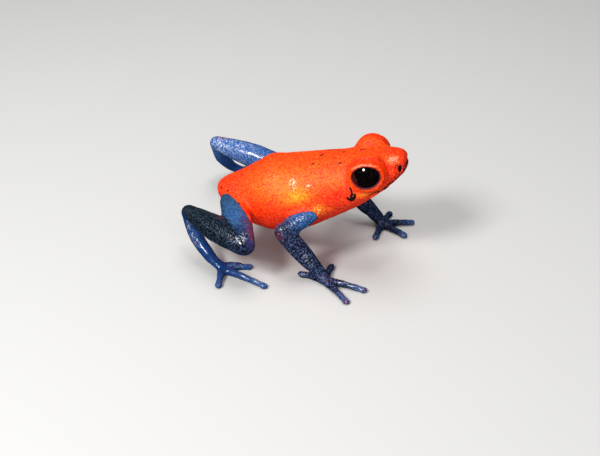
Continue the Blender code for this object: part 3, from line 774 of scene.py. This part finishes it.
def paintLimbs(item, owner, places):
    count = len(places)
    ground, tip = np.zeros((count, 3)), np.zeros((count, 3))
    limb, grainy, wet = np.zeros(count), np.zeros(count), np.zeros(count)
    for name, stops in limbPaint.items():
        kind, side = name[:-2], name[-1]
        if kind in boneEnds:
            part = boneShare(places, *(joint(side, end) for end in boneEnds[kind]))
        else:
            root = joint(side, "palm" if kind == "hand" else "sole")
            part = np.linalg.norm(places[:, :2] - root[:2], axis=1)
        here = owner == fleshNames.index(name)
        for target, value in zip((ground, tip, grainy, wet), stopsAt(stops, part)):
            target[here] = value[here]
        cover = np.ones(count)
        if kind == "upper_arm":
            cover = smoothStep(*shoulderFade, part)
        if kind == "thigh":  # the flank's red skin lies slantwise over the thigh's root
            inward = places[:, 0] + places[:, 1] * (1 if side == "r" else -1)
            cover = np.maximum(1 - smoothStep(*flankEdge, inward), smoothStep(*flankEnd, part))
        limb[here] = cover[here]
    for line, radius, name, strength in limbStrokes:
        ground = over(ground, name, strength * stroke("limb", lineDistance(places, line), radius) * limb)
    # painted highlights: the grains along these lines are laid over with a pale colour
    for line, radius, name, strength in paintedHighlightStrokes:
        tip = over(tip, name, strength * stroke("grain", lineDistance(places, line), radius))
    # the limbs' paint runs a little way under the body's edge, and fades from part to part
    here = (limb > 0) * 1.0
    share = np.maximum(blurred(item, here, paintBlur), 1e-6)
    rows = [blurred(item, row * here, paintBlur) / share for row in (*ground.T, *tip.T, grainy, wet)]
    return limb, np.stack(rows[:3], 1), np.stack(rows[3:6], 1), rows[6], rows[7]


def paintSkin(item):
    points = pointsOf(item)
    owner = nearestNode(points)
    limb, ground, tip, grainy, wet = paintLimbs(item, owner, handCoords(points))
    body, right = bodyCoords(points), rightCoords(points)
    colour = np.tile(palette["red"], (len(points), 1))
    for middle, size, name, strength in bodyPaint:
        colour = over(colour, name, strength * brush(right, middle, size))
    place, radius, strength = markSet["redEar"]
    fromEar = np.linalg.norm(right - place, axis=1)
    colour = over(colour, "wine", strength * stroke("ear", fromEar, radius))
    shine = np.full(len(points), dryShine)
    for middle, size, strength in wetSpots:
        shine = np.maximum(shine, strength * brush(right, middle, size))
    lid, sleek = np.zeros(len(points)), np.zeros(len(points))
    for side in "rl":
        reach, rise = lidReach(points, side)
        lid = np.maximum(lid, 1 - smoothStep(*lidSet["rim"], reach))
        sleek = np.maximum(sleek, bell(reach, *lidSet["sleek"]))
        shine = np.maximum(shine, sleek)
        for name, strength, middle, width, setsIn in lidSet["rings"]:
            colour = over(colour, name, strength * bell(reach, middle, width) * smoothStep(*setsIn, rise))
    marks = np.zeros(len(points))
    for places, rows in ((right, markSet["both"]), (body, markSet["single"])):
        for line, radius in rows:
            marks = np.maximum(marks, stroke("mark", lineDistance(places, line), radius))
    freckles = stroke("jaw", lineDistance(right, markSet["jaw"]), markSet["jawWidth"])
    freckles = np.maximum(freckles, markSet["snoutStrength"] * brush(right, *markSet["snout"]))
    for name, value in {"bodyPaint": colour, "limbPaint": ground, "limbGrain": tip}.items():
        storeColour(item, name, value)
    for name, value in {"limb": blurred(item, limb, edgeBlur), "grainy": grainy, "wet": wet, "shine": shine,
                        "marks": marks, "freckles": freckles, "lid": lid, "sleek": sleek}.items():
        storeValue(item, name, value)


paintSkin(skin)
print("skin painted")


# Materials

def newMaterial(name):
    material = bpy.data.materials.new(name)
    material.use_nodes = True
    return material, material.node_tree, material.node_tree.nodes["Principled BSDF"]


def addNode(tree, kind, sockets, **settings):  # a socket takes a number, a colour or another socket
    node = tree.nodes.new(kind)
    for name, value in settings.items():
        setattr(node, name, value)
    for name, value in sockets.items():
        if isinstance(value, bpy.types.NodeSocket):
            tree.links.new(value, node.inputs[name])
        else:
            node.inputs[name].default_value = value
    return node


def calc(tree, operation, first, second, third=0.0):
    sockets = {0: first, 1: second, 2: third}
    return addNode(tree, "ShaderNodeMath", sockets, operation=operation, use_clamp=True).outputs[0]


def blend(tree, amount, first, second):
    node = addNode(tree, "ShaderNodeMix", {"Factor": amount}, data_type="RGBA")
    for index, value in ((6, first), (7, second)):  # the two colour sockets
        if isinstance(value, bpy.types.NodeSocket):
            tree.links.new(value, node.inputs[index])
        else:
            node.inputs[index].default_value = (*value, 1)
    return node.outputs[2]


def ramp(tree, value, low, high, start=0.0, end=1.0):
    sockets = {"Value": value, "From Min": low, "From Max": high, "To Min": start, "To Max": end}
    return addNode(tree, "ShaderNodeMapRange", sockets).outputs[0]


def between(tree, amount, first, second):  # a value between two others
    return addNode(tree, "ShaderNodeMix", {"Factor": amount, 2: first, 3: second}).outputs[0]


def noise(tree, place, scale, detail):
    sockets = {"Vector": place, "Scale": scale, "Detail": detail}
    return addNode(tree, "ShaderNodeTexNoise", sockets).outputs[0]


def placeInMm(tree):
    coords = addNode(tree, "ShaderNodeTexCoord", {}).outputs["Object"]
    perMetre = (1 / mm, 1 / mm, 1 / mm)
    return addNode(tree, "ShaderNodeMapping", {"Vector": coords, "Scale": perMetre}).outputs[0]


def painted(tree, name, output="Fac"):  # what paintSkin stored
    return addNode(tree, "ShaderNodeAttribute", {}, attribute_name=name).outputs[output]


skinLook = {  # most pairs and fours are ramps: from, to and the values at both ends
    "grains": {"body": 6.0, "limb": 6.5},  # per mm
    "grainShape": (0.1, 0.62, 1.0, 0.0),  # full near a cell's middle, gone towards its edge
    "grainTip": (0.2, 0.8),
    "grainLuck": (0.25, 0.65, 0.3, 1.0),  # some grains have dull tips
    # each noise's scale per mm and its detail
    "noises": {"fine": (3.0, 3.0), "dust": (6.0, 2.0), "patches": (1.4, 3.0), "specks": (9.0, 1.0)},
    "patch": (0.8, 0.01, 0.0005),  # the deeper red of the body's uneven patches
    "patchAmount": (0.42, 0.62, 0.0, 0.22),
    "bodyTip": (0.97, 0.27, 0.006),  # the body's grains
    "bodyTipAmount": 0.3,
    "creviceShade": (0.55, 0.012, 0.0006),  # and the painted shade in the hollows between them
    "creviceShadeAmount": (0.4, 0.0, 0.0, 0.6),
    "paintedGlint": (1.0, 0.78, 0.4),  # painted highlight: grain tips painted pale where the body is wet
    "paintedGlintShine": (0.4, 0.95),
    "paintedGlintTip": (0.3, 0.7),
    "edgeNoise": 0.4,  # how ragged the edge between red and blue is
    "fringe": (0.05, 0.004, 0.02),  # the dark line along it
    "fringeEdge": (0.4, 0.5),
    "limbEdge": (0.5, 0.64),
    "mark": (0.006, 0.003, 0.005),
    "markNoise": 0.6,
    "markEdge": (0.35, 0.6),
    "speckNoise": 0.4,
    "speckEdge": (0.78, 0.86),
    "lid": (0.1, 0.003, 0.012),
    "shineEdge": (0.45, 0.6),  # where the body's wetness gives way to the limb's
    "roughness": (0.1, 0.8, 0.58, 0.14),  # from dry to wet
    "roughNoise": (0.35, 0.25),  # its middle and strength
    "coat": 0.9,
    "coatWet": (0.3, 1.0),
    "bump": 0.055,  # mm
    "bodyGrain": 0.7,
    "wetGrain": (0.3, 1.0),
    "sleekGrain": (0.0, 0.9, 1.0, 0.06),  # hardly any grain on the lids
    "dustShare": 0.25,  # of the bump, and the rest is grain
    "constants": {"Subsurface Weight": 0.1, "Subsurface Radius": (1.0, 0.3, 0.15),
                  "Subsurface Scale": 0.0004, "Coat Roughness": 0.2, "Specular IOR Level": 0.28},
}


def grains(tree, place, perMm):  # round grains, and their coloured tips, bright or dull by chance
    cells = addNode(tree, "ShaderNodeTexVoronoi", {"Vector": place, "Scale": perMm}, feature="SMOOTH_F1")
    grain = ramp(tree, cells.outputs["Distance"], *skinLook["grainShape"])
    chance = addNode(tree, "ShaderNodeSeparateColor", {"Color": cells.outputs["Color"]}).outputs[0]
    luck = ramp(tree, chance, *skinLook["grainLuck"])
    return grain, calc(tree, "MULTIPLY", ramp(tree, grain, *skinLook["grainTip"]), luck)


def makeSkin():
    look = skinLook
    material, tree, shader = newMaterial("frogSkin")
    place = placeInMm(tree)
    fine, dust, patches, specks = (noise(tree, place, *look["noises"][name])
                                   for name in ("fine", "dust", "patches", "specks"))
    bodyGrain, bodyTips = grains(tree, place, look["grains"]["body"])
    limbGrain, limbTips = grains(tree, place, look["grains"]["limb"])
    shine, sleek = painted(tree, "shine"), painted(tree, "sleek")

    # the red body
    uneven = ramp(tree, patches, *look["patchAmount"])
    body = blend(tree, uneven, painted(tree, "bodyPaint", "Color"), look["patch"])
    body = blend(tree, calc(tree, "MULTIPLY", bodyTips, look["bodyTipAmount"]), body, look["bodyTip"])
    # painted shade: the hollows between the grains are darkened
    body = blend(tree, ramp(tree, bodyGrain, *look["creviceShadeAmount"]), body, look["creviceShade"])
    # painted highlights: pale grain tips where the body shines, left off the lids
    wetBody = calc(tree, "SUBTRACT", ramp(tree, shine, *look["paintedGlintShine"]), sleek)
    paintedGlints = calc(tree, "MULTIPLY", ramp(tree, bodyTips, *look["paintedGlintTip"]), wetBody)
    body = blend(tree, paintedGlints, body, look["paintedGlint"])

    # the blue limbs, and the ragged edge between both
    limb = blend(tree, limbTips, painted(tree, "limbPaint", "Color"), painted(tree, "limbGrain", "Color"))
    ragged = look["edgeNoise"]
    edge = calc(tree, "SUBTRACT", painted(tree, "limb"), ragged / 2)
    edge = calc(tree, "MULTIPLY_ADD", fine, ragged, edge)
    colour = blend(tree, ramp(tree, edge, *look["fringeEdge"]), body, look["fringe"])
    colour = blend(tree, ramp(tree, edge, *look["limbEdge"]), colour, limb)

    # the black marks and the lids' rims
    spots = calc(tree, "MULTIPLY_ADD", painted(tree, "freckles"), look["speckNoise"], specks)
    spots = ramp(tree, spots, *look["speckEdge"])
    blots = calc(tree, "SUBTRACT", painted(tree, "marks"), look["markNoise"] / 2)
    blots = calc(tree, "MULTIPLY_ADD", dust, look["markNoise"], blots)
    blots = ramp(tree, blots, *look["markEdge"])
    colour = blend(tree, calc(tree, "MAXIMUM", spots, blots), colour, look["mark"])
    colour = blend(tree, painted(tree, "lid"), colour, look["lid"])
    tree.links.new(colour, shader.inputs["Base Color"])

    # shine
    onLimb = ramp(tree, edge, *look["shineEdge"])
    wet = between(tree, onLimb, shine, painted(tree, "wet"))
    middle, strength = look["roughNoise"]
    rough = ramp(tree, wet, *look["roughness"])
    rough = calc(tree, "MULTIPLY_ADD", calc(tree, "SUBTRACT", fine, middle), strength, rough)
    tree.links.new(rough, shader.inputs["Roughness"])
    coat = calc(tree, "MULTIPLY", onLimb, ramp(tree, wet, *look["coatWet"]))
    tree.links.new(calc(tree, "MULTIPLY", coat, look["coat"]), shader.inputs["Coat Weight"])

    # relief
    grainy = between(tree, onLimb, look["bodyGrain"], painted(tree, "grainy"))
    grainy = calc(tree, "MAXIMUM", grainy, ramp(tree, shine, *look["wetGrain"]))
    grainy = calc(tree, "MULTIPLY", grainy, ramp(tree, sleek, *look["sleekGrain"]))
    grain = between(tree, onLimb, bodyGrain, limbGrain)
    height = calc(tree, "MULTIPLY", grain, 1 - look["dustShare"])
    height = calc(tree, "MULTIPLY_ADD", dust, look["dustShare"], height)
    height = calc(tree, "MULTIPLY", height, grainy)
    bump = addNode(tree, "ShaderNodeBump", {"Height": height, "Distance": look["bump"] * mm})
    tree.links.new(bump.outputs[0], shader.inputs["Normal"])
    for name, value in look["constants"].items():
        shader.inputs[name].default_value = value
    return material


skin.data.materials.clear()
skin.data.materials.append(makeSkin())
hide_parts(*fleshNames)
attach(skin, "root")

eyeLook = {
    "pupil": (0.0012, 0.001, 0.001),
    "iris": (0.006, 0.003, 0.0035),
    "flecks": (4.0, 4.0),  # scale per mm and detail
    "irisFlecks": (0.45, 0.7),
    "roughness": (0.3, 0.7, 0.03, 0.06),
    "specular": 0.35,
}


def makeEye():
    look = eyeLook
    material, tree, shader = newMaterial("eyeBlack")
    flecks = noise(tree, placeInMm(tree), *look["flecks"])
    colour = blend(tree, ramp(tree, flecks, *look["irisFlecks"]), look["pupil"], look["iris"])
    tree.links.new(colour, shader.inputs["Base Color"])
    tree.links.new(ramp(tree, flecks, *look["roughness"]), shader.inputs["Roughness"])
    shader.inputs["Specular IOR Level"].default_value = look["specular"]
    return material


eyeBlack = makeEye()
for side in "rl":
    eye = eyeBall("frog_eye_" + side, side, eyeSet["radius"], *eyeSet["faces"])
    shadeSmooth(eye)
    eye.data.materials.append(eyeBlack)
    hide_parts("eye_" + side)
    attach(eye, "root")
print("eyes placed")


# Floor, lights and camera

floorSet = {"size": 1.2, "colour": (0.5, 0.495, 0.48, 1), "roughness": 0.7}
bpy.ops.mesh.primitive_plane_add(size=floorSet["size"])
floor = bpy.context.view_layer.objects.active
floor.name = "floor"
pale, _, shader = newMaterial("paleFloor")
shader.inputs["Base Color"].default_value = floorSet["colour"]
shader.inputs["Roughness"].default_value = floorSet["roughness"]
floor.data.materials.append(pale)
floor.visible_glossy = False

lightAim = Vector((0, 0, 0.006))
lightSet = (  # name, direction, distance and size in metres, power, whether it shows in the gloss
    ("key", (-0.38, -0.62, 0.68), 0.18, 0.042, 0.3, True),
    ("spark", (0.1, -0.08, 0.99), 0.18, 0.025, 0.05, True),
    ("fill", (0.35, -0.8, 0.48), 0.2, 0.12, 0.12, False),
    ("top", (-0.1, 0.25, 0.96), 0.2, 0.12, 0.22, False),
)
for name, way, away, size, power, glossy in lightSet:
    lamp = bpy.data.lights.new(name, "AREA")
    lamp.size = size
    lamp.energy = power
    item = bpy.data.objects.new(name, lamp)
    item.location = lightAim + Vector(way).normalized() * away
    item.rotation_euler = Vector(way).to_track_quat("Z", "Y").to_euler()
    item.visible_glossy = glossy
    bpy.context.scene.collection.objects.link(item)
worldSet = {"Color": (0.93, 0.95, 1, 1), "Strength": 0.35}
world = bpy.data.worlds.new("studio")
world.use_nodes = True
for name, value in worldSet.items():
    world.node_tree.nodes["Background"].inputs[name].default_value = value
world.cycles_visibility.glossy = False
bpy.context.scene.world = world
bpy.context.scene.view_settings.view_transform = "Standard"

cameraSet = {
    "lens": 61.4,
    "sensor": 36,  # mm
    "clip": 0.005,
    "azimuth": math.radians(14),
    "elevation": math.radians(33),
    "place": (16.48, -89.68, 62.25),  # from the middle of the two hands, mm
}
azimuth, elevation = cameraSet["azimuth"], cameraSet["elevation"]
right = Vector((math.cos(azimuth), math.sin(azimuth), 0))
level = math.cos(elevation)
back = Vector((math.sin(azimuth) * level, -math.cos(azimuth) * level, math.sin(elevation)))
camera = bpy.data.objects.new("camera", bpy.data.cameras.new("camera"))
camera.data.lens = cameraSet["lens"]
camera.data.sensor_width = cameraSet["sensor"]
camera.data.clip_start = cameraSet["clip"]
bpy.context.scene.collection.objects.link(camera)
turn = Matrix((right, back.cross(right), back)).transposed()
camera.matrix_world = Matrix.Translation(handsMiddle + Vector(cameraSet["place"]) * mm) @ turn.to_4x4()
bpy.context.scene.camera = camera
print("floor, lights and camera set")
